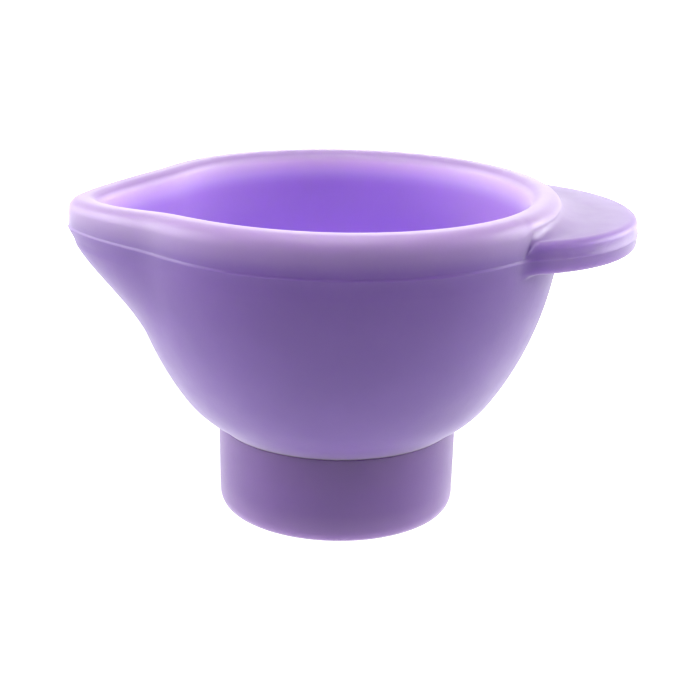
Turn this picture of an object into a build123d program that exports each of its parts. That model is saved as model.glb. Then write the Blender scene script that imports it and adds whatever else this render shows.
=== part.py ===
from build123d import *
from math import atan2, cos, exp, hypot, pi, radians, sin, sqrt
import os

# Hair color bowl: a deep round tinting bowl with a pouring spout, a thumb tab and a short straight foot.
# Frame: millimetres, +Z up, origin at the centre of the foot on the surface that the bowl rests on.
# The spout points to -X and the thumb tab to +X, so the bowl is symmetric about the XZ plane.

# ---- rim and lip ----
RIM_RADIUS = 57.2           # widest circle of the basin, at the parting plane
PARTING_HEIGHT = 76.9       # plane where the two halves of the mould meet
BOWL_HEIGHT = 86.9          # top of the lip
LIP_OUTER_RADIUS = 56.7     # outer face at the top, after the mould's draft
LIP_INNER_RADIUS = 49.2     # mouth of the basin
LIP_OUTER_ROUND = 3.0       # the lip's edges are rounded this far across
LIP_OUTER_DROP = 6.0        # and this far down
LIP_INNER_ROUND = 2.7
LIP_INNER_DROP = 4.5
PARTING_STEP = 0.3          # the upper mould half stands this far inside the lower one
LIP_DROOP = 2.5             # the lip sinks this far at the spout's tip
DROOP_ANGLE = 30.0          # degrees from the tip where the droop has faded to about a third

# ---- basin ----
WALL_LEAN = 3.9             # degrees from vertical at the parting plane
WALL_RADIUS = 88.2          # arc of the upper wall, in section
WALL_TURN = 30.2            # degrees that the upper wall turns before the bottom's arc takes over
SEAT_RADIUS = 30.6          # where the outer wall's arc would meet the foot
SEAT_HEIGHT = 23.4
COLLAR_RADIUS = 31.6        # short collar that closes the gap between the rounded bottom and the foot
COLLAR_TOP = 24.2
BASE_WALL = 5.2             # thickness of the wall at the bottom; it grows towards the lip

# ---- spout ----
SPOUT_REACH = 13.0          # how far the tip stands out past the rim circle
SPOUT_HALF_ANGLE = 28.5     # degrees from the tip to where the spout joins the rim circle
SPOUT_POWER = 1.35          # how hollow the spout's flanks are in plan
SPOUT_TIP_BLEND = 4.3       # degrees over which the tip is rounded
KEEL_START = 50.2           # height where the spout starts to grow out of the wall
CHANNEL_START = 55.0        # the same, inside
KEEL_POWER = 1.72           # how gently the keel leaves the wall
KEEL_BULGE = 2.33           # how full the keel is under the tip

# ---- thumb tab ----
TAB_CENTRE = 38.4
TAB_RADIUS = 39.5
TAB_BOTTOM = 73.1
TAB_TOP = 81.2
TAB_UPPER_ROUND = 2.0
TAB_LOWER_ROUND = 1.4

# ---- foot ----
FOOT_RADIUS = 31.6
FOOT_TOP_RADIUS = 31.9
FOOT_BOTTOM = 0.4           # the foot stands this far above the surface, on its rubber ring
FOOT_ROUND = 3.3
FOOT_SHOULDER_ROUND = 0.4
FOOT_WALL = 4.2
FLANGE_THICKNESS = 5.0      # inward flange at the bottom of the foot
FLANGE_INNER_RADIUS = 20.0

# ---- spigot that centres the foot under the basin ----
SPIGOT_CLEARANCE = 0.1
SPIGOT_WALL = 3.2
SPIGOT_BOTTOM = 14.0
SPIGOT_BEAD = 1.0           # half height of the bead that snaps into the foot
BEAD_DEPTH = 0.6
BEAD_HEIGHT = 17.0
BEAD_CLEARANCE = 0.1

# ---- non-slip ring ----
RING_INNER_RADIUS = 23.0
RING_OUTER_RADIUS = 27.6
RING_GROOVE_DEPTH = 2.4
RING_CLEARANCE = 0.1
RING_ROUND = 0.3

FLOOR_SECTIONS = 6          # outlines of the loft over the basin's rounded bottom
LIP_SECTIONS = 6            # steps of the loft round the lip's edge
FLARE = 80.0                # degrees that the mouth's round turns before it passes the lip's top
LIP_OVERLAP = 4.0           # the lip's body runs this far into the mouth, which then cuts it off
OUTLINE_POINTS = 72
TIP_CROWDING = 0.75         # how strongly the outline's points crowd towards the spout's tip
SECTION_STEP = 5.0          # height between two outlines of a loft, at most


def arc_centre(radius, height, lean, arc_radius):
    """Centre of a wall arc that passes a point, leaning inward by lean degrees there."""
    return (radius - arc_radius * cos(radians(lean)), height + arc_radius * sin(radians(lean)))


def turn_point():
    """Radius and height where the wall's arc hands over to the bottom's arc."""
    centre_r, centre_z = arc_centre(RIM_RADIUS, PARTING_HEIGHT, WALL_LEAN, WALL_RADIUS)
    lean = radians(WALL_LEAN + WALL_TURN)
    return (centre_r + WALL_RADIUS * cos(lean), centre_z - WALL_RADIUS * sin(lean))


def bottom_arc():
    """Centre radius, centre height and radius of the bottom's arc: tangent to the wall, through the seat."""
    start_r, start_z = turn_point()
    lean = radians(WALL_LEAN + WALL_TURN)
    chord = hypot(start_r - SEAT_RADIUS, start_z - SEAT_HEIGHT)
    chord_lean = atan2(start_r - SEAT_RADIUS, start_z - SEAT_HEIGHT)
    arc_radius = chord / (2 * sin(chord_lean - lean))
    return (start_r - arc_radius * cos(lean), start_z + arc_radius * sin(lean), arc_radius)


def basin_radius(height, inset=0.0):
    """Radius of the basin's wall at a height, inset from the outer face."""
    centre_r, centre_z = arc_centre(RIM_RADIUS, PARTING_HEIGHT, WALL_LEAN, WALL_RADIUS)
    reach = WALL_RADIUS - inset
    turn_height = centre_z - reach * sin(radians(WALL_LEAN + WALL_TURN))
    if height < turn_height:
        centre_r, centre_z, arc_radius = bottom_arc()
        reach = arc_radius - inset
    return centre_r + sqrt(reach ** 2 - (centre_z - height) ** 2)


def wall_inset(height):
    """Thickness of the basin's wall at a height."""
    bottom = bottom_arc()[1]
    share = min(max((height - bottom) / (PARTING_HEIGHT - bottom), 0.0), 1.0)
    rim_wall = RIM_RADIUS - LIP_INNER_RADIUS
    return BASE_WALL + (rim_wall - BASE_WALL) * share ** 2 * (3 - 2 * share)


def spout_growth(height, start):
    """Share of the spout's full reach at a height: none at its start, all at the parting plane."""
    share = min(max((height - start) / (PARTING_HEIGHT - start), 0.0), 1.0)
    return share ** KEEL_POWER * (KEEL_BULGE - (KEEL_BULGE - 1) * share)


def outline(height, radius, reach, droop=0.0):
    """Closed curve round the bowl: a circle that swells to a rounded point at -X, and may sink there."""
    blend = radians(SPOUT_TIP_BLEND)
    half_angle = radians(SPOUT_HALF_ANGLE)
    steps = [i / OUTLINE_POINTS for i in range(OUTLINE_POINTS + 1)]
    points = []
    for step in steps[:-1]:
        turn = 2 * pi * step
        angle = turn + TIP_CROWDING * sin(turn)
        from_tip = abs(pi - angle)
        rounded = sqrt(from_tip ** 2 + blend ** 2) - blend
        distance = radius + reach * max(0.0, 1 - rounded / half_angle) ** SPOUT_POWER
        sink = droop * exp(-(from_tip / radians(DROOP_ANGLE)) ** 2)
        points.append((distance * cos(angle), distance * sin(angle), height - sink))
    return Wire([Edge.make_spline(points, periodic=True, parameters=steps)])


def heights(bottom, top, step=SECTION_STEP):
    """Evenly spaced heights from bottom to top."""
    count = max(2, round((top - bottom) / step) + 1)
    return [bottom + (top - bottom) * i / (count - 1) for i in range(count)]


def lower_body():
    """Outside of the basin and spout, below the parting plane."""
    sections = []
    for height in heights(SEAT_HEIGHT, PARTING_HEIGHT):
        reach = SPOUT_REACH * spout_growth(height, KEEL_START)
        sections.append(outline(height, basin_radius(height), reach))
    return Solid.make_loft(sections)


def edge_outlines(radius, across, down, turn):
    """Outlines up an elliptic quarter round at the lip, across it (inward if negative) and down its face."""
    base = BOWL_HEIGHT - down
    sections = []
    for i in range(LIP_SECTIONS + 1):
        angle = radians(turn) * i / LIP_SECTIONS
        shift = across * (1 - cos(angle))
        sections.append(outline(base + down * sin(angle), radius + shift, SPOUT_REACH, LIP_DROOP))
    return sections


def upper_body():
    """Lip, solid across the mouth: its outer wall, outer round and top, which the cavity then opens."""
    sections = [outline(PARTING_HEIGHT, RIM_RADIUS - PARTING_STEP, SPOUT_REACH)]
    sections += edge_outlines(LIP_OUTER_RADIUS, -LIP_OUTER_ROUND, LIP_OUTER_DROP, 90.0)
    sections.append(outline(BOWL_HEIGHT, LIP_INNER_RADIUS, SPOUT_REACH, LIP_DROOP))
    sections.append(outline(BOWL_HEIGHT, LIP_INNER_RADIUS - LIP_OVERLAP, SPOUT_REACH))
    return Solid.make_loft(sections, ruled=True)


def mouth():
    """Cavity above the parting plane, flared at the lip and open upward."""
    parting_radius = basin_radius(PARTING_HEIGHT, wall_inset(PARTING_HEIGHT))
    sections = [outline(PARTING_HEIGHT, parting_radius, SPOUT_REACH)]
    sections += edge_outlines(LIP_INNER_RADIUS, LIP_INNER_ROUND, LIP_INNER_DROP, FLARE)
    above = BOWL_HEIGHT + LIP_OVERLAP
    sections.append(outline(above, LIP_INNER_RADIUS + LIP_INNER_ROUND, SPOUT_REACH))
    return Solid.make_loft(sections, ruled=True)


def cavity():
    """Inside of the basin and its pouring channel."""
    centre_r, centre_z, arc_radius = bottom_arc()
    reach = arc_radius - BASE_WALL
    wall_angle = pi / 2 - radians(WALL_LEAN + WALL_TURN)
    step = wall_angle / FLOOR_SECTIONS
    levels = [centre_z - reach * cos(step * i) for i in range(FLOOR_SECTIONS)]
    levels += heights(centre_z - reach * cos(wall_angle), PARTING_HEIGHT)
    sections = []
    for height in levels:
        swell = SPOUT_REACH * spout_growth(height, CHANNEL_START)
        sections.append(outline(height, basin_radius(height, wall_inset(height)), swell))
    return Solid.make_loft(sections) + mouth()


def thumb_tab():
    """Flat round tongue, in two halves that meet at the parting plane."""
    centre = Pos(TAB_CENTRE, 0, 0)
    lower = Solid.make_cylinder(TAB_RADIUS, PARTING_HEIGHT - TAB_BOTTOM)
    lower = lower.fillet(TAB_LOWER_ROUND, lower.edges().group_by(Axis.Z)[0])
    upper = Solid.make_cylinder(TAB_RADIUS - PARTING_STEP, TAB_TOP - PARTING_HEIGHT)
    upper = upper.fillet(TAB_UPPER_ROUND, upper.edges().group_by(Axis.Z)[-1])
    return centre * Pos(0, 0, TAB_BOTTOM) * lower, centre * Pos(0, 0, PARTING_HEIGHT) * upper


def underside_height(radius):
    """Height of the basin's underside at a radius, inside the foot."""
    centre_r, centre_z, arc_radius = bottom_arc()
    return centre_z - sqrt(arc_radius ** 2 - (radius - centre_r) ** 2)


def turned(lines):
    """Solid of revolution about Z from a closed profile drawn in the XZ plane."""
    return revolve(Plane.XZ * make_face(lines), Axis.Z)


def underside():
    """Flat and rounded bottom of the basin, the spigot ring that the foot fits over and the collar above it."""
    outer = FOOT_TOP_RADIUS - FOOT_WALL - SPIGOT_CLEARANCE
    inner = outer - SPIGOT_WALL
    flat = bottom_arc()[0]
    bottom = (flat, underside_height(flat))
    middle = ((flat + inner) / 2, underside_height((flat + inner) / 2))
    edge = (inner, underside_height(inner))
    bead_low = (outer, BEAD_HEIGHT - SPIGOT_BEAD)
    bead_high = (outer, BEAD_HEIGHT + SPIGOT_BEAD)
    profile = Line((0, bottom[1]), bottom) + ThreePointArc(bottom, middle, edge)
    profile += Polyline(edge, (inner, SPIGOT_BOTTOM), (outer, SPIGOT_BOTTOM), bead_low)
    profile += ThreePointArc(bead_low, (outer + BEAD_DEPTH, BEAD_HEIGHT), bead_high)
    profile += Polyline(bead_high, (outer, SEAT_HEIGHT), (COLLAR_RADIUS, SEAT_HEIGHT),
                        (COLLAR_RADIUS, COLLAR_TOP), (0, COLLAR_TOP), (0, bottom[1]))
    return turned(profile)


def bowl_shell():
    """Basin, lip, spout and thumb tab in one moulding, with the spigot underneath."""
    tab_lower, tab_upper = thumb_tab()
    body = lower_body() + tab_lower + underside()
    body += upper_body() + tab_upper
    return body - cavity()


def foot_ring():
    """Straight foot: a drafted tube with a rounded bottom, an inward flange and a groove for the rubber."""
    inner = FOOT_TOP_RADIUS - FOOT_WALL
    groove = SPIGOT_BEAD + BEAD_CLEARANCE
    bead_low = (inner, BEAD_HEIGHT - groove)
    bead_high = (inner, BEAD_HEIGHT + groove)
    flange_top = FOOT_BOTTOM + FLANGE_THICKNESS
    outer = Polyline((FLANGE_INNER_RADIUS, FOOT_BOTTOM), (FOOT_RADIUS, FOOT_BOTTOM),
                     (FOOT_TOP_RADIUS, SEAT_HEIGHT), (inner, SEAT_HEIGHT), bead_high)
    profile = outer + ThreePointArc(bead_high, (inner + BEAD_DEPTH + BEAD_CLEARANCE, BEAD_HEIGHT), bead_low)
    profile += Polyline(bead_low, (inner, flange_top), (FLANGE_INNER_RADIUS, flange_top),
                        (FLANGE_INNER_RADIUS, FOOT_BOTTOM))
    foot = turned(profile)
    rims = foot.edges().filter_by(GeomType.CIRCLE)
    foot = foot.fillet(FOOT_ROUND, rims.filter_by(lambda e: abs(e.radius - FOOT_RADIUS) < 0.01))
    rims = foot.edges().filter_by(GeomType.CIRCLE)
    foot = foot.fillet(FOOT_SHOULDER_ROUND, rims.filter_by(lambda e: abs(e.radius - FOOT_TOP_RADIUS) < 0.01))
    return foot - ring_blank(RING_CLEARANCE, FOOT_BOTTOM + RING_GROOVE_DEPTH)


def ring_blank(clearance, top):
    """Flat ring from the resting surface up, wider by the clearance on both sides."""
    outer = Solid.make_cylinder(RING_OUTER_RADIUS + clearance, top)
    return outer - Solid.make_cylinder(RING_INNER_RADIUS - clearance, top)


def non_slip_ring():
    """Rubber ring in the foot's groove, standing just proud of it."""
    ring = ring_blank(0, FOOT_BOTTOM + RING_GROOVE_DEPTH)
    return ring.fillet(RING_ROUND, ring.edges().group_by(Axis.Z)[0])


def main():
    os.makedirs("parts", exist_ok=True)
    pieces = {"bowl_shell": bowl_shell(), "foot_ring": foot_ring(), "non_slip_ring": non_slip_ring()}
    for name, piece in pieces.items():
        export_step(piece, f"parts/{name}.step")


main()
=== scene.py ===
from math import acos, atan2, cos, exp, hypot, pi, radians, sin, sqrt

import bpy
from mathutils import Matrix, Vector


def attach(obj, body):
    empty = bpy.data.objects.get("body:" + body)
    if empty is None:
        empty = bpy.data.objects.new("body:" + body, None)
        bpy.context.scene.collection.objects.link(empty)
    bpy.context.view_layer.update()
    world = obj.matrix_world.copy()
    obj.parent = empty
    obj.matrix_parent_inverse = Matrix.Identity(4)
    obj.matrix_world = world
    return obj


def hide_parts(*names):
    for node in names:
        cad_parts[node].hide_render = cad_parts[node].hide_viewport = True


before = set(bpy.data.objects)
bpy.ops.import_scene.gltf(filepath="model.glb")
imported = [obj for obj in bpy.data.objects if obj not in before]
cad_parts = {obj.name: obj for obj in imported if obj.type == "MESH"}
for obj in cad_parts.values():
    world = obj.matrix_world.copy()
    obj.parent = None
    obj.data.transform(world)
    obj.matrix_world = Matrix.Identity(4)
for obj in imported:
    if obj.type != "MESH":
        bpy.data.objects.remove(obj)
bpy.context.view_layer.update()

MM = 0.001

# Hair color bowl in satin, slightly translucent silicone. Lengths of the bowl are in millimetres, in the
# frame's axes: +Z up, the spout points to -X and the thumb tab to +X. Table and lights are in metres.

# ---- rim and lip ----
RIM_RADIUS = 57.2           # outer wall at the parting plane
PARTING_HEIGHT = 76.9
BOWL_HEIGHT = 86.9
LIP_OUTER_RADIUS = 56.7
LIP_OUTER_ROUND = 3.0       # the lip's edges are rounded this far across
LIP_OUTER_DROP = 6.0        # and this far down
LIP_INNER_ROUND = 2.7
LIP_INNER_DROP = 4.5
LIP_FOOTING = 5.5           # the basin's wall takes over this far below the lip's top
PARTING_STEP = 0.3          # the upper half of the mould stands this far in
RIDGE_HEIGHT = 0.12         # fine flash line where the two halves of the mould meet
RIDGE_HALF_WIDTH = 0.35
RIDGE_DROP = 0.05           # its crest lies just below the parting plane

# ---- basin ----
WALL_LEAN = radians(3.9)    # from vertical, at the parting plane
WALL_RADIUS = 88.2          # arc of the upper wall, in section
WALL_TURN = radians(30.2)   # it turns this far before the bottom's arc takes over
SEAT_RADIUS = 30.6          # where the outer wall's arc would meet the foot
SEAT_HEIGHT = 23.4
COLLAR_RADIUS = 31.75       # lower edge of the belly, where it sits on the foot
COLLAR_HEIGHT = 0.15        # short upright part of that edge
COLLAR_EDGE = 0.08          # its rounding below
COLLAR_CORNER = (0.06, 0.1)     # and above, along the upright part and along the belly
BELLY_START = 25.4          # above this the belly follows its arc
BASE_WALL = 5.2             # thickness of the wall at the bottom
RIM_WALL = 8.0              # and just under the lip

# ---- spout ----
SPOUT_REACH = 13.0          # the tip stands out this far past the rim circle
SPOUT_HALF_ANGLE = radians(28.5)    # from the tip to where the spout joins the rim circle
SPOUT_POWER = 1.35          # how hollow its flanks are in plan
SPOUT_TIP_BLEND = radians(4.3)      # the tip is rounded over this angle
SPOUT_SOFTNESS = 0.16       # how softly its flanks leave the rim circle
KEEL_START = 50.2           # height where the spout starts to grow out of the wall
KEEL_POWER = 1.72           # how gently it leaves the wall
KEEL_BULGE = 2.33           # how full it is under the tip
CHANNEL_START = 55.0        # height where it starts inside
LIP_DROOP = 2.5             # the lip sinks this far at the spout's tip
DROOP_ANGLE = radians(30)

# ---- thumb tab ----
TAB_CENTRE = 38.4           # the tab's edge is a circle round this point on +X
TAB_RADIUS = 39.5
TAB_BOTTOM = 73.1
TAB_TOP = 81.2
TAB_CORNER = 2.5            # blend, in plan, between the tab's side and the rim
TAB_SOFT_EDGE = 2.0         # the tab's edges fade in over this much of its reach
# The section has four corners round the tab: joint below, lower edge, upper edge, joint above. Round the
# plain rim the same corners close up to the parting line.
TAB_LEVELS = (TAB_BOTTOM, TAB_BOTTOM, TAB_TOP, TAB_TOP)
PLAIN_LEVELS = (TAB_BOTTOM - 1.0, TAB_BOTTOM + 0.8, PARTING_HEIGHT + 0.8, PARTING_HEIGHT + 1.2)
PLAIN_ROUND = 0.4           # reach of those corners at the plain rim
TAB_JOINT_BELOW = 1.2       # and at the tab, where two numbers are the reach before and after the corner
TAB_LOWER_EDGE = 1.4
TAB_UPPER_EDGE = (2.0, 2.2)
TAB_JOINT_ABOVE = (10.0, 2.8)
TAB_LIP_DROP = 2.8          # beside the tab the lip's outer edge is rounded this far down
TAB_LIP_ROUND = 4.4         # and this far across

# ---- foot ----
FOOT_RADIUS = 31.6
FOOT_TOP_RADIUS = 31.9
FOOT_BOTTOM = 0.4           # the foot stands this far above the table, on its rubber ring
FOOT_ROUND = 3.3
FOOT_WALL = 4.2
FLANGE = 5.0                # thickness of the inward flange at the bottom
FLANGE_INNER = 20.0
GROOVE_DEPTH = 2.4
GRIP_INNER = 23.0
GRIP_OUTER = 27.6
GRIP_GAP = 0.1
GRIP_ROUND = 0.4
GRIP_TOP_ROUND = 0.2
FLANGE_ROUND = 0.5
GROOVE_ROUND = 0.15
SEAT_EDGE = 0.1             # rounding of the foot's top, outside
SEAT_INNER_EDGE = 0.2       # and inside
FOOT_LEVELS = (8.0, 12.0, 16.0, 19.0, 21.5)     # extra rows of points up the foot's outer face
FOOT_ROW = 0.5              # half the height of each

# ---- spigot, inside the foot, and underside of the basin ----
SPIGOT_OUTER = 27.6
SPIGOT_INNER = 24.4
SPIGOT_BOTTOM = 14.0
SPIGOT_ROOT = 0.8           # rounding where it leaves the basin
SPIGOT_EDGE = 0.5
SPIGOT_SEAT = 0.3
GATE_RADIUS = 2.0           # stub left by the mould's gate, in the middle of the underside
GATE_HEIGHT = 0.5
GATE_EDGE = ((-0.4, GATE_HEIGHT), (-0.1, 0.35), (0.0, 0.0), (1.0, 0.0))     # past its radius, and depth

# ---- how finely the meshes are divided ----
BELLY_TOP = 71.0
BELLY_LEVELS = 34
INNER_LEVELS = 30
FLOOR_BLEND_HEIGHT = 34.0
FLOOR_LEVELS = 12
FLOOR_RINGS = 4
UNDERSIDE_RINGS = 5
LATHE_TURNS = 128
CORNER_STEPS = 6            # straight parts of a round corner
CORNER_LIMIT = 0.49         # a round corner takes at most this share of a side
TURNS = ((0.0, 3.0), (36.0, 1.0), (52.0, 3.0), (142.0, 1.25), (180.0, 0.0))     # degrees: start, step
LIT_INSIDE = "inside"           # mesh attribute: 1 inside the basin, 0 outside; it switches to the lighter inside colour, which is painted light
INSIDE_POINTS = 4           # it rises over the last points of the lip's inner edge
PAINTED_LIGHT = "pale"               # mesh attribute: 1 where the colour is made paler as painted light, for the sheen on the lip and tab and the light bounced up onto the collar and the foot's edge

# ---- view ----
VIEW_TURN = radians(5.8)
VIEW_RISE = radians(17.9)
VIEW_ROLL = radians(1.15)
VIEW_DISTANCE = 401.7
VIEW_AIM = (3.12, -0.32, 42.45)
LENS = 77.2
SENSOR_WIDTH = 36.0

# ---- light and colour ----
TABLE_GREY = 0.12
TABLE_GLOW = 0.68           # how much the table shines in front of the bowl
TABLE_GLOW_NEAR = 1.3       # right under the bowl
TABLE_NEAR = (0.07, 0.2)    # metres over which that fades
TABLE_GLOW_FAR = 2.5        # and behind it, like a sweep lit from behind
TABLE_FAR = 0.35            # metres
TABLE_GLOW_EDGE = 1.05      # and far away all round
TABLE_EDGE = (0.45, 0.9)
TABLE_HALF_WIDTH = 6
TABLE_ROUGHNESS = 0.9
TABLE_GLOSS = 0.1
WORLD_STRENGTH = 0.02
LIGHT_AIM = (0, 0, 0.05)
SOFTBOXES = (               # name, place and size in metres, watts
    ("light_over", (0.0, -0.2, 0.55), (0.4, 0.4), 3.0),
    ("light_back", (0.0, 1.15, 0.4), (2.6, 0.7), 9.5),
    ("light_roof", (0.0, 0.65, 0.9), (1.8, 0.9), 5.0),
    ("light_left", (-1.0, 0.2, 0.3), (0.8, 0.5), 12.0),
    ("light_right", (1.0, 0.2, 0.3), (0.8, 0.5), 12.0),
)
BOWL_LOW = (0.16, 0.082, 0.32)
BOWL_HIGH = (0.175, 0.09, 0.345)
# Painted shade: the foot's colour is a darker copy of the bowl's silicone, standing in for the shade under
# the belly.
SHADED_FOOT_LOW = (0.15, 0.075, 0.27)
SHADED_FOOT_HIGH = (0.165, 0.083, 0.29)
# Painted light: the inside of the basin is a lighter copy of the same silicone, standing in for the light
# bounced round the basin.
LIT_BASIN_LOW = (0.41, 0.235, 0.65)
LIT_BASIN_HIGH = (0.43, 0.245, 0.68)
# Painted highlight: paler copies of the colour, outside and inside, standing in for the sheen on the lip and
# tab and the light bounced up onto the collar and the foot's edge.
HIGHLIGHT_LOW = (0.32, 0.225, 0.41)
HIGHLIGHT_HIGH = (0.34, 0.24, 0.435)
HIGHLIGHT_BASIN_LOW = (0.72, 0.62, 0.74)
HIGHLIGHT_BASIN_HIGH = (0.75, 0.64, 0.77)
# Where the painted highlight and the painted bounced light lie, and how strongly:
PALE_LIP = 0.5              # the lip is palest down to here
PALE_REACH = 9.5            # and fades into the wall over this height
PALE_TAB = 0.36             # how pale the thumb tab is
PALE_TAB_START = 5.0        # over this distance from the rim
PALE_FOOT = 0.4             # how pale the foot's bottom edge is
PALE_FOOT_HEIGHT = 10.0
PALE_COLLAR = 0.6           # how pale the belly is where it meets the foot
PALE_COLLAR_HEIGHT = 2.6
BACKDROP_REACH = 5.5        # metres from the bowl to the pale wall round the table
BACKDROP_HEIGHT = 3.0
BACKDROP_TURNS = 96

# ---- surface detail ----
NOISE_DETAIL = 3.0
RAMP_SPAN = (0.3, 0.7)      # a ramp runs from one end to the other between these noise values
CLOUD_SCALE = 45.0          # silicone: faint clouding of the colour
GLOSS_SCALE = 160.0         # patches of slightly different gloss
SILICONE_ROUGHNESS = (0.38, 0.47)
PEEL_SCALE = 1400.0         # fine orange peel
PEEL_STRENGTH = 0.12
SILICONE_IOR = 1.43
SCATTER_RADIUS = (1.0, 0.8, 1.2)
SCATTER_SCALE = 0.01
SHEEN = 0.4
SHEEN_ROUGHNESS = 0.4
BUMP_DISTANCE = 0.0001
GRAIN_DETAIL = 2.0
RUBBER_LOW = (0.10, 0.055, 0.22)
RUBBER_HIGH = (0.13, 0.075, 0.27)
RUBBER_CLOUD_SCALE = 90.0
RUBBER_GLOSS_SCALE = 500.0
RUBBER_ROUGHNESS = (0.62, 0.75)
RUBBER_GRAIN_SCALE = 2500.0
RUBBER_GRAIN_STRENGTH = 0.3


def smoothstep(value):
    """Runs smoothly from 0 to 1 as the value goes from 0 to 1."""
    value = min(max(value, 0.0), 1.0)
    return value * value * (3 - 2 * value)


# ---------------------------------------------------------------- shape of the bowl

def wall_arcs():
    """The outer wall's upper and bottom arc in section, each as centre radius, centre height and radius."""
    upper_r = RIM_RADIUS - WALL_RADIUS * cos(WALL_LEAN)
    upper_z = PARTING_HEIGHT + WALL_RADIUS * sin(WALL_LEAN)
    lean = WALL_LEAN + WALL_TURN
    turn_r = upper_r + WALL_RADIUS * cos(lean)
    turn_z = upper_z - WALL_RADIUS * sin(lean)
    chord = hypot(turn_r - SEAT_RADIUS, turn_z - SEAT_HEIGHT)
    chord_lean = atan2(turn_r - SEAT_RADIUS, turn_z - SEAT_HEIGHT)
    radius = chord / (2 * sin(chord_lean - lean))
    bottom = (turn_r - radius * cos(lean), turn_z + radius * sin(lean), radius)
    return (upper_r, upper_z, WALL_RADIUS), bottom


UPPER_ARC, BOTTOM_ARC = wall_arcs()


def basin_radius(height, inset=0.0):
    """Radius of the basin's wall at a height, inset from the outer face."""
    centre_r, centre_z, radius = UPPER_ARC
    if height < centre_z - (radius - inset) * sin(WALL_LEAN + WALL_TURN):
        centre_r, centre_z, radius = BOTTOM_ARC
    return centre_r + sqrt(max((radius - inset) ** 2 - (centre_z - height) ** 2, 0.0))


def wall_inset(height):
    """Thickness of the wall: it grows from the bottom to the lip."""
    share = smoothstep((height - BOTTOM_ARC[1]) / (PARTING_HEIGHT - BOTTOM_ARC[1]))
    return BASE_WALL + (RIM_WALL - BASE_WALL) * share


def spout_share(theta):
    """How much of the spout's reach applies in a direction: 1 at the tip, fading to 0 along the rim."""
    from_tip = abs(pi - theta % (2 * pi))
    rounded = sqrt(from_tip ** 2 + SPOUT_TIP_BLEND ** 2) - SPOUT_TIP_BLEND
    return (softened(1 - rounded / SPOUT_HALF_ANGLE) / softened(1.0)) ** SPOUT_POWER


def softened(share):
    """Follows a share above 0 and fades to 0 below it, without a kink."""
    return (share + sqrt(share ** 2 + SPOUT_SOFTNESS ** 2)) / 2


def spout_growth(height, start):
    """Share of the spout's full reach at a height: none at its start, all at the parting plane."""
    share = min(max((height - start) / (PARTING_HEIGHT - start), 0.0), 1.0)
    return share ** KEEL_POWER * (KEEL_BULGE - (KEEL_BULGE - 1) * share)


def lip_top(theta):
    """Height of the lip, which sinks towards the spout's tip."""
    from_tip = abs(pi - theta % (2 * pi))
    return BOWL_HEIGHT - LIP_DROOP * exp(-(from_tip / DROOP_ANGLE) ** 2)


def outer_radius(height, theta):
    """Outer wall below the parting plane."""
    return basin_radius(height) + SPOUT_REACH * spout_growth(height, KEEL_START) * spout_share(theta)


def rim_radius(height, theta):
    """Outer wall above the parting plane."""
    share = min(max((height - PARTING_HEIGHT) / (lip_top(theta) - PARTING_HEIGHT), 0.0), 1.0)
    low = RIM_RADIUS - PARTING_STEP
    return low + (LIP_OUTER_RADIUS - low) * share + SPOUT_REACH * spout_share(theta)


def inner_radius(height, theta):
    """Inner wall of the basin and the pouring channel."""
    level = min(height, PARTING_HEIGHT)
    swell = SPOUT_REACH * spout_growth(height, CHANNEL_START) * spout_share(theta)
    return basin_radius(level, wall_inset(level)) + swell


def tab_excursion(radius, theta):
    """How far the thumb tab stands out past a radius in a direction, with a soft corner where they meet."""
    tab = TAB_CENTRE * cos(theta) + sqrt(TAB_RADIUS ** 2 - (TAB_CENTRE * sin(theta)) ** 2)
    beyond = tab - radius
    blend = max(TAB_CORNER - abs(beyond), 0.0)
    return max(beyond, 0.0) + blend * blend / (4 * TAB_CORNER)


def corner(before, at, after, reach_in, reach_out):
    """Points of a round corner: a conic that leaves one side at reach_in and meets the other at reach_out."""
    def step_to(end, reach):
        length = hypot(end[0] - at[0], end[1] - at[1])
        share = min(reach, CORNER_LIMIT * length) / length
        return (at[0] + (end[0] - at[0]) * share, at[1] + (end[1] - at[1]) * share)
    start, end = step_to(before, reach_in), step_to(after, reach_out)
    turn_in = atan2(at[1] - start[1], at[0] - start[0])
    turn_out = atan2(end[1] - at[1], end[0] - at[0])
    weight = abs(cos((turn_out - turn_in) / 2))
    points = []
    for i in range(CORNER_STEPS + 1):
        t = i / CORNER_STEPS
        a, b, c = (1 - t) ** 2, 2 * t * (1 - t) * weight, t ** 2
        total = a + b + c
        points.append(((a * start[0] + b * at[0] + c * end[0]) / total,
                       (a * start[1] + b * at[1] + c * end[1]) / total))
    return points


def rounded(path):
    """Profile through corners given as (radius, height, reach in, reach out). A reach of 0 keeps a point."""
    points = []
    for i, (r, z, reach_in, reach_out) in enumerate(path):
        if reach_in == 0 or i in (0, len(path) - 1):
            points.append((r, z))
        else:
            points += corner(path[i - 1][:2], (r, z), path[i + 1][:2], reach_in, reach_out)
    return points


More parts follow.
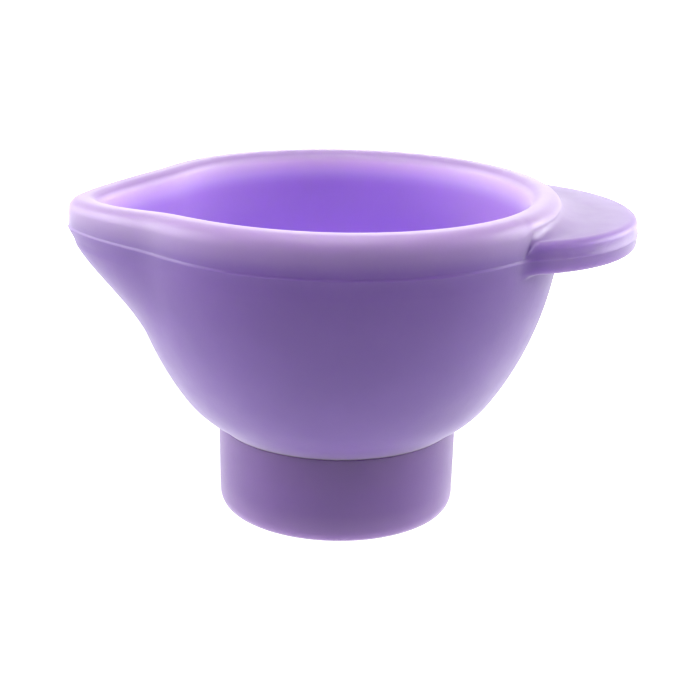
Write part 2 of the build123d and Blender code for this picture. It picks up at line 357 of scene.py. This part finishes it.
def underside():
    """Profile from the middle of the basin's underside, over the spigot, to the belly above the foot."""
    centre_r, centre_z, radius = BOTTOM_ARC
    flat = centre_z - radius

    def height(r):
        return centre_z - sqrt(radius ** 2 - max(r - centre_r, 0.0) ** 2)
    gate = [(0.0, flat - GATE_HEIGHT)] + [(GATE_RADIUS + past, flat - depth) for past, depth in GATE_EDGE]
    bottom = [(r, height(r)) for r in levels(centre_r, SPIGOT_INNER - SPIGOT_ROOT, UNDERSIDE_RINGS)]
    ring = rounded([
        bottom[-1] + (0, 0),
        (SPIGOT_INNER, height(SPIGOT_INNER), SPIGOT_ROOT, SPIGOT_ROOT),
        (SPIGOT_INNER, SPIGOT_BOTTOM, SPIGOT_EDGE, SPIGOT_EDGE),
        (SPIGOT_OUTER, SPIGOT_BOTTOM, SPIGOT_EDGE, SPIGOT_EDGE),
        (SPIGOT_OUTER, SEAT_HEIGHT, SPIGOT_SEAT, SPIGOT_SEAT),
        (COLLAR_RADIUS, SEAT_HEIGHT, COLLAR_EDGE, COLLAR_EDGE),
        (COLLAR_RADIUS, SEAT_HEIGHT + COLLAR_HEIGHT, *COLLAR_CORNER),
        (basin_radius(BELLY_START), BELLY_START, 0, 0)])
    return gate + bottom + ring[1:-1]


def outside(theta):
    """Profile of the belly, the tab or plain rim, and the lip with its inner edge, in one direction."""
    wall = outer_radius(PARTING_HEIGHT, theta)
    out = tab_excursion(wall, theta)
    full = smoothstep(out / TAB_SOFT_EDGE)

    def mix(plain, tab):
        return plain + (tab - plain) * full

    def reaches(before, after):
        return mix(PLAIN_ROUND, before), mix(PLAIN_ROUND, after)
    below, lower, upper, above = (mix(plain, tab) for plain, tab in zip(PLAIN_LEVELS, TAB_LEVELS))
    top = lip_top(theta)
    lip = LIP_OUTER_RADIUS + SPOUT_REACH * spout_share(theta)
    belly = [(outer_radius(z, theta), z) for z in levels(BELLY_START, BELLY_TOP, BELLY_LEVELS)]
    rim = rounded([
        belly[-1] + (0, 0),
        (outer_radius(below, theta), below, *reaches(TAB_JOINT_BELOW, TAB_JOINT_BELOW)),
        (outer_radius(TAB_BOTTOM, theta) + out, lower, *reaches(TAB_LOWER_EDGE, TAB_LOWER_EDGE)),
        (wall + out - RIDGE_HEIGHT, PARTING_HEIGHT - RIDGE_HALF_WIDTH, 0, 0),
        (wall + out, PARTING_HEIGHT - RIDGE_DROP, 0, 0),
        (wall + out - PARTING_STEP, PARTING_HEIGHT + RIDGE_HALF_WIDTH, 0, 0),
        (rim_radius(upper, theta) + out, upper, *reaches(*TAB_UPPER_EDGE)),
        (rim_radius(above, theta), above, *reaches(*TAB_JOINT_ABOVE)),
        (lip, top, mix(LIP_OUTER_DROP, TAB_LIP_DROP), mix(LIP_OUTER_ROUND, TAB_LIP_ROUND)),
        (inner_radius(top, theta), top, LIP_INNER_ROUND, LIP_INNER_DROP),
        (inner_radius(top - LIP_FOOTING, theta), top - LIP_FOOTING, 0, 0)])
    return belly + rim[1:]


def inside(theta):
    """Profile of the cavity from under the lip down to the middle of the floor, in one direction."""
    centre_r, centre_z, radius = BOTTOM_ARC
    floor = centre_z - radius + BASE_WALL
    top = lip_top(theta) - LIP_FOOTING
    path = [(inner_radius(z, theta), z) for z in levels(top, FLOOR_BLEND_HEIGHT, INNER_LEVELS)[1:]]
    reach = radius - BASE_WALL
    start_angle = acos((centre_z - FLOOR_BLEND_HEIGHT) / reach)
    for i in range(1, FLOOR_LEVELS + 1):
        angle = start_angle * (1 - i / FLOOR_LEVELS)
        path.append((centre_r + reach * sin(angle), centre_z - reach * cos(angle)))
    path += [(centre_r * (1 - i / FLOOR_RINGS), floor) for i in range(1, FLOOR_RINGS + 1)]
    return path


def levels(bottom, top, count):
    """Evenly spaced numbers, both ends included."""
    return [bottom + (top - bottom) * i / (count - 1) for i in range(count)]


def directions():
    """Angles round the bowl, closer together at the tab's corners and at the spout's tip."""
    half = []
    for (start, step), (end, _) in zip(TURNS, TURNS[1:]):
        count = round((end - start) / step)
        half += [start + (end - start) * i / count for i in range(count)]
    half.append(TURNS[-1][0])
    return [radians(a) for a in half] + [radians(-a) for a in reversed(half[1:-1])]


def around(profile, angle):
    """A profile's points in metres, turned round the bowl's axis."""
    return [(r * cos(angle) * MM, r * sin(angle) * MM, z * MM) for r, z in profile]


def skin(name, profiles, angles):
    """Closed smooth mesh from one profile for each direction. Ends at radius 0 become single points."""
    first, last = profiles[0][0], profiles[0][-1]
    inner = [profile[1:-1] for profile in profiles]
    count = len(inner[0])
    verts = [(first[0] * MM, 0.0, first[1] * MM), (last[0] * MM, 0.0, last[1] * MM)]
    for angle, profile in zip(angles, inner):
        verts += around(profile, angle)
    faces = []
    turns = len(angles)
    for i in range(turns):
        here, there = 2 + i * count, 2 + (i + 1) % turns * count
        faces.append((0, there, here))
        faces += [(here + j, there + j, there + j + 1, here + j + 1) for j in range(count - 1)]
        faces.append((here + count - 1, there + count - 1, 1))
    return mesh_object(name, verts, faces)


def lathe(name, profile):
    """Closed smooth ring turned from a closed profile that stays clear of the axis."""
    count = len(profile)
    turns = LATHE_TURNS
    verts = []
    for i in range(turns):
        verts += around(profile, 2 * pi * i / turns)
    faces = []
    for i in range(turns):
        here, there = i * count, (i + 1) % turns * count
        for j in range(count):
            after = (j + 1) % count
            faces.append((here + j, there + j, there + after, here + after))
    return mesh_object(name, verts, faces)


def mesh_object(name, verts, faces):
    """Smooth-shaded object from points and faces."""
    mesh = bpy.data.meshes.new(name)
    mesh.from_pydata(verts, [], faces)
    mesh.validate()
    mesh.update()
    mesh.shade_smooth()
    piece = bpy.data.objects.new(name, mesh)
    bpy.context.scene.collection.objects.link(piece)
    return piece


def bowl():
    """The whole silicone moulding: basin, lip, spout, thumb tab and the spigot underneath."""
    angles = directions()
    below = underside()
    profiles = [below + outside(angle) + inside(angle) for angle in angles]
    basin = len(inside(0.0))
    outer = len(profiles[0]) - basin - INSIDE_POINTS
    rise = [(i + 1) / INSIDE_POINTS for i in range(INSIDE_POINTS)]
    shares = [0.0] * outer + rise + [1.0] * basin
    piece = skin("bowl", profiles, angles)
    # Masks for painted light: the lighter inside colour and the paler painted highlight.
    tag(piece, LIT_INSIDE, [shares[0], shares[-1]] + shares[1:-1] * len(angles))
    tag(piece, PAINTED_LIGHT, [bowl_painted_light(vertex.co / MM) for vertex in piece.data.vertices])
    return piece


def tag(piece, name, values):
    """Stores one number for each point of the mesh, for the material."""
    piece.data.attributes.new(name, "FLOAT", "POINT").data.foreach_set("value", values)


def bowl_painted_light(point):
    """Painted light: paler at the lip and the tab as a painted highlight for their sheen, and at the collar
    as painted light bounced up from the table.
    """
    theta = atan2(point.y, point.x)
    depth = lip_top(theta) - point.z
    edge = 1 - smoothstep((depth - PALE_LIP) / PALE_REACH)
    reach = hypot(point.x, point.y) - RIM_RADIUS if point.x > 0 else 0.0
    collar = PALE_COLLAR * (1 - smoothstep((point.z - SEAT_HEIGHT) / PALE_COLLAR_HEIGHT))
    return max(edge, collar, PALE_TAB * smoothstep(reach / PALE_TAB_START))


def foot():
    """Straight foot with a rounded bottom edge, an inward flange and a groove for the rubber ring."""
    inner = FOOT_TOP_RADIUS - FOOT_WALL
    groove = FOOT_BOTTOM + GROOVE_DEPTH
    piece = lathe("foot", rounded_loop([
        (FLANGE_INNER, FOOT_BOTTOM, FLANGE_ROUND),
        (GRIP_INNER - GRIP_GAP, FOOT_BOTTOM, GROOVE_ROUND),
        (GRIP_INNER - GRIP_GAP, groove, GROOVE_ROUND),
        (GRIP_OUTER + GRIP_GAP, groove, GROOVE_ROUND),
        (GRIP_OUTER + GRIP_GAP, FOOT_BOTTOM, GROOVE_ROUND),
        (FOOT_RADIUS, FOOT_BOTTOM, FOOT_ROUND),
        *((foot_wall(z), z, FOOT_ROW) for z in FOOT_LEVELS),
        (FOOT_TOP_RADIUS, SEAT_HEIGHT, SEAT_EDGE),
        (inner, SEAT_HEIGHT, SEAT_INNER_EDGE),
        (inner, FOOT_BOTTOM + FLANGE, FLANGE_ROUND),
        (FLANGE_INNER, FOOT_BOTTOM + FLANGE, FLANGE_ROUND)]))
    tag(piece, PAINTED_LIGHT, [foot_painted_light(vertex.co.z / MM) for vertex in piece.data.vertices])
    return piece


def foot_wall(height):
    """Radius of the foot's outer face, which widens a little upwards."""
    share = (height - FOOT_BOTTOM) / (SEAT_HEIGHT - FOOT_BOTTOM)
    return FOOT_RADIUS + (FOOT_TOP_RADIUS - FOOT_RADIUS) * share


def foot_painted_light(height):
    """Painted light: paler at the foot's bottom edge, standing in for light bounced up from the table."""
    return PALE_FOOT * (1 - smoothstep(height / PALE_FOOT_HEIGHT))


def rounded_loop(path):
    """Closed profile with round corners, from corners given as (radius, height, reach)."""
    points = []
    for i, (r, z, reach) in enumerate(path):
        points += corner(path[i - 1][:2], (r, z), path[(i + 1) % len(path)][:2], reach, reach)
    return points


def grip_ring():
    """Rubber ring in the foot's groove."""
    top = FOOT_BOTTOM + GROOVE_DEPTH - GRIP_GAP
    return lathe("grip_ring", rounded_loop([
        (GRIP_INNER, 0.0, GRIP_ROUND), (GRIP_OUTER, 0.0, GRIP_ROUND),
        (GRIP_OUTER, top, GRIP_TOP_ROUND), (GRIP_INNER, top, GRIP_TOP_ROUND)]))


# ---------------------------------------------------------------- materials

def nodes_of(name):
    """New node material: its tree and its Principled shader."""
    material = bpy.data.materials.new(name)
    material.use_nodes = True
    tree = material.node_tree
    return material, tree, tree.nodes["Principled BSDF"]


def add(tree, kind, **settings):
    """New node with its properties set."""
    node = tree.nodes.new(kind)
    for key, value in settings.items():
        setattr(node, key, value)
    return node


def noise(tree, scale, detail=NOISE_DETAIL):
    """Noise over the object's own coordinates, in metres."""
    place = add(tree, "ShaderNodeTexCoord")
    texture = add(tree, "ShaderNodeTexNoise")
    texture.inputs["Scale"].default_value = scale
    texture.inputs["Detail"].default_value = detail
    tree.links.new(place.outputs["Object"], texture.inputs["Vector"])
    return texture.outputs["Fac"]


def ramp(tree, factor, low, high):
    """Colour that runs from low to high with a factor."""
    node = add(tree, "ShaderNodeValToRGB")
    for element, position, colour in zip(node.color_ramp.elements, RAMP_SPAN, (low, high)):
        element.position = position
        element.color = (*colour, 1)
    tree.links.new(factor, node.inputs["Fac"])
    return node.outputs["Color"]


def fade(tree, value, span, ends):
    """Runs smoothly between two values while another one crosses a span."""
    node = add(tree, "ShaderNodeMapRange", interpolation_type="SMOOTHSTEP")
    for key, number in zip(("From Min", "From Max", "To Min", "To Max"), (*span, *ends)):
        node.inputs[key].default_value = number
    tree.links.new(value, node.inputs["Value"])
    return node.outputs["Result"]


def strongest(tree, first, second):
    """The larger of two values."""
    node = add(tree, "ShaderNodeMath", operation="MAXIMUM")
    tree.links.new(first, node.inputs[0])
    tree.links.new(second, node.inputs[1])
    return node.outputs["Value"]


def blend(tree, attribute, first, second):
    """Mixes two colours by a mesh attribute."""
    node = add(tree, "ShaderNodeMix", data_type="RGBA")
    share = add(tree, "ShaderNodeAttribute", attribute_name=attribute)
    tree.links.new(share.outputs["Fac"], node.inputs["Factor"])
    colours = [socket for socket in node.inputs if socket.type == "RGBA"]
    tree.links.new(first, colours[0])
    tree.links.new(second, colours[1])
    return next(socket for socket in node.outputs if socket.type == "RGBA")


def surface(tree, shader, gloss_scale, roughness, grain_scale, grain):
    """Roughness that varies a little from place to place, and fine relief."""
    low, high = roughness
    gloss = ramp(tree, noise(tree, gloss_scale), (low,) * 3, (high,) * 3)
    tree.links.new(gloss, shader.inputs["Roughness"])
    bump = add(tree, "ShaderNodeBump")
    bump.inputs["Strength"].default_value = grain
    bump.inputs["Distance"].default_value = BUMP_DISTANCE
    tree.links.new(noise(tree, grain_scale, GRAIN_DETAIL), bump.inputs["Height"])
    tree.links.new(bump.outputs["Normal"], shader.inputs["Normal"])


def silicone(name, low, high):
    """Satin silicone: faint clouding and light through the material. Its colour holds painted light: a
    lighter copy inside the basin and paler copies where the painted highlight lies.
    """
    material, tree, shader = nodes_of(name)
    clouds = noise(tree, CLOUD_SCALE)

    def tone(dark, light):
        return ramp(tree, clouds, dark, light)
    # Painted light: the inside of the basin and the painted highlight get lighter copies of the colour.
    wall = blend(tree, LIT_INSIDE, tone(low, high), tone(LIT_BASIN_LOW, LIT_BASIN_HIGH))
    highlight_colour = blend(tree, LIT_INSIDE, tone(HIGHLIGHT_LOW, HIGHLIGHT_HIGH), tone(HIGHLIGHT_BASIN_LOW, HIGHLIGHT_BASIN_HIGH))
    tree.links.new(blend(tree, PAINTED_LIGHT, wall, highlight_colour), shader.inputs["Base Color"])
    shader.inputs["IOR"].default_value = SILICONE_IOR
    shader.inputs["Subsurface Weight"].default_value = 1.0
    shader.inputs["Subsurface Radius"].default_value = SCATTER_RADIUS
    shader.inputs["Subsurface Scale"].default_value = SCATTER_SCALE
    shader.inputs["Sheen Weight"].default_value = SHEEN
    shader.inputs["Sheen Roughness"].default_value = SHEEN_ROUGHNESS
    surface(tree, shader, GLOSS_SCALE, SILICONE_ROUGHNESS, PEEL_SCALE, PEEL_STRENGTH)
    return material


def matt_rubber():
    """Soft rubber of the non-slip ring."""
    material, tree, shader = nodes_of("matt_rubber")
    colour = ramp(tree, noise(tree, RUBBER_CLOUD_SCALE), RUBBER_LOW, RUBBER_HIGH)
    tree.links.new(colour, shader.inputs["Base Color"])
    surface(tree, shader, RUBBER_GLOSS_SCALE, RUBBER_ROUGHNESS, RUBBER_GRAIN_SCALE, RUBBER_GRAIN_STRENGTH)
    return material


# ---------------------------------------------------------------- studio

def glowing_white(name):
    """Matt white that shines of itself: its material, its tree and its shader."""
    material, tree, shader = nodes_of(name)
    shader.inputs["Base Color"].default_value = (TABLE_GREY, TABLE_GREY, TABLE_GREY, 1)
    shader.inputs["Roughness"].default_value = TABLE_ROUGHNESS
    shader.inputs["Emission Color"].default_value = (1, 1, 1, 1)
    return material, tree, shader


def floor():
    """Plain pale table, much wider than the view."""
    half = TABLE_HALF_WIDTH
    verts = [(x, y, 0.0) for x, y in ((-half, -half), (half, -half), (half, half), (-half, half))]
    table = mesh_object("table", verts, [(0, 1, 2, 3)])
    material, tree, shader = glowing_white("pale_table")
    shader.inputs["Specular IOR Level"].default_value = TABLE_GLOSS
    place = add(tree, "ShaderNodeTexCoord").outputs["Object"]
    split = add(tree, "ShaderNodeSeparateXYZ")
    tree.links.new(place, split.inputs["Vector"])
    reach = add(tree, "ShaderNodeVectorMath", operation="LENGTH")
    tree.links.new(place, reach.inputs[0])
    near = fade(tree, reach.outputs["Value"], TABLE_NEAR, (TABLE_GLOW_NEAR, TABLE_GLOW))
    far = fade(tree, split.outputs["Y"], (0.0, TABLE_FAR), (TABLE_GLOW, TABLE_GLOW_FAR))
    edge = fade(tree, reach.outputs["Value"], TABLE_EDGE, (TABLE_GLOW, TABLE_GLOW_EDGE))
    glow = strongest(tree, strongest(tree, near, far), edge)
    tree.links.new(glow, shader.inputs["Emission Strength"])
    table.data.materials.append(material)


def backdrop():
    """Pale wall round the table. Only the camera sees it, so it adds no light."""
    turns = BACKDROP_TURNS
    angles = [2 * pi * i / turns for i in range(turns)]
    ring = [(BACKDROP_REACH * cos(angle), BACKDROP_REACH * sin(angle)) for angle in angles]
    verts = [(x, y, z) for z in (0.0, BACKDROP_HEIGHT) for x, y in ring]
    faces = [((i + 1) % turns, i, turns + i, turns + (i + 1) % turns) for i in range(turns)]
    wall = mesh_object("backdrop", verts, faces)
    material, _, shader = glowing_white("pale_wall")
    shader.inputs["Emission Strength"].default_value = 1.0
    wall.data.materials.append(material)
    wall.visible_diffuse = wall.visible_glossy = wall.visible_transmission = wall.visible_shadow = False


def softbox(name, place, size, power):
    """Rectangular area light that faces the bowl."""
    light = bpy.data.lights.new(name, "AREA")
    light.shape = "RECTANGLE"
    light.size, light.size_y = size
    light.energy = power
    lamp = bpy.data.objects.new(name, light)
    lamp.location = place
    lamp.rotation_euler = (Vector(LIGHT_AIM) - lamp.location).to_track_quat("-Z", "Y").to_euler()
    lamp.visible_camera = False
    bpy.context.scene.collection.objects.link(lamp)


def studio():
    """Bright surround above and behind, with the camera's side left darker."""
    for name, place, size, power in SOFTBOXES:
        softbox(name, place, size, power)
    world = bpy.data.worlds.new("surround")
    world.use_nodes = True
    shade = world.node_tree.nodes["Background"]
    shade.inputs["Color"].default_value = (1, 1, 1, 1)
    shade.inputs["Strength"].default_value = WORLD_STRENGTH
    bpy.context.scene.world = world
    bpy.context.scene.view_settings.view_transform = "Standard"


def camera():
    """Looks down at the bowl from its near side, turned a little towards the spout."""
    data = bpy.data.cameras.new("camera")
    data.lens = LENS
    data.sensor_width = SENSOR_WIDTH
    back = Vector((-sin(VIEW_TURN) * cos(VIEW_RISE), -cos(VIEW_TURN) * cos(VIEW_RISE), sin(VIEW_RISE)))
    turn = (-back).to_track_quat("-Z", "Y").to_matrix() @ Matrix.Rotation(VIEW_ROLL, 3, "Z")
    view = bpy.data.objects.new("camera", data)
    view.matrix_world = Matrix.Translation((Vector(VIEW_AIM) + back * VIEW_DISTANCE) * MM) @ turn.to_4x4()
    bpy.context.scene.collection.objects.link(view)
    bpy.context.scene.camera = view


def main():
    """Sets up the view, the light and the table, and puts each piece in the place of its CAD node."""
    camera()
    studio()
    floor()
    backdrop()
    body = silicone("violet_silicone", BOWL_LOW, BOWL_HIGH)
    # The foot gets a darker copy of the silicone: painted shade.
    shaded_foot_silicone = silicone("violet_silicone_foot_shaded", SHADED_FOOT_LOW, SHADED_FOOT_HIGH)
    pieces = (
        (bowl(), "bowl_shell", "bowl", body),
        (foot(), "foot_ring", "foot", shaded_foot_silicone),
        (grip_ring(), "non_slip_ring", "grip", matt_rubber()),
    )
    for piece, node, slot, material in pieces:
        piece.data.materials.append(material)
        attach(piece, "root")
        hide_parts(node)


main()
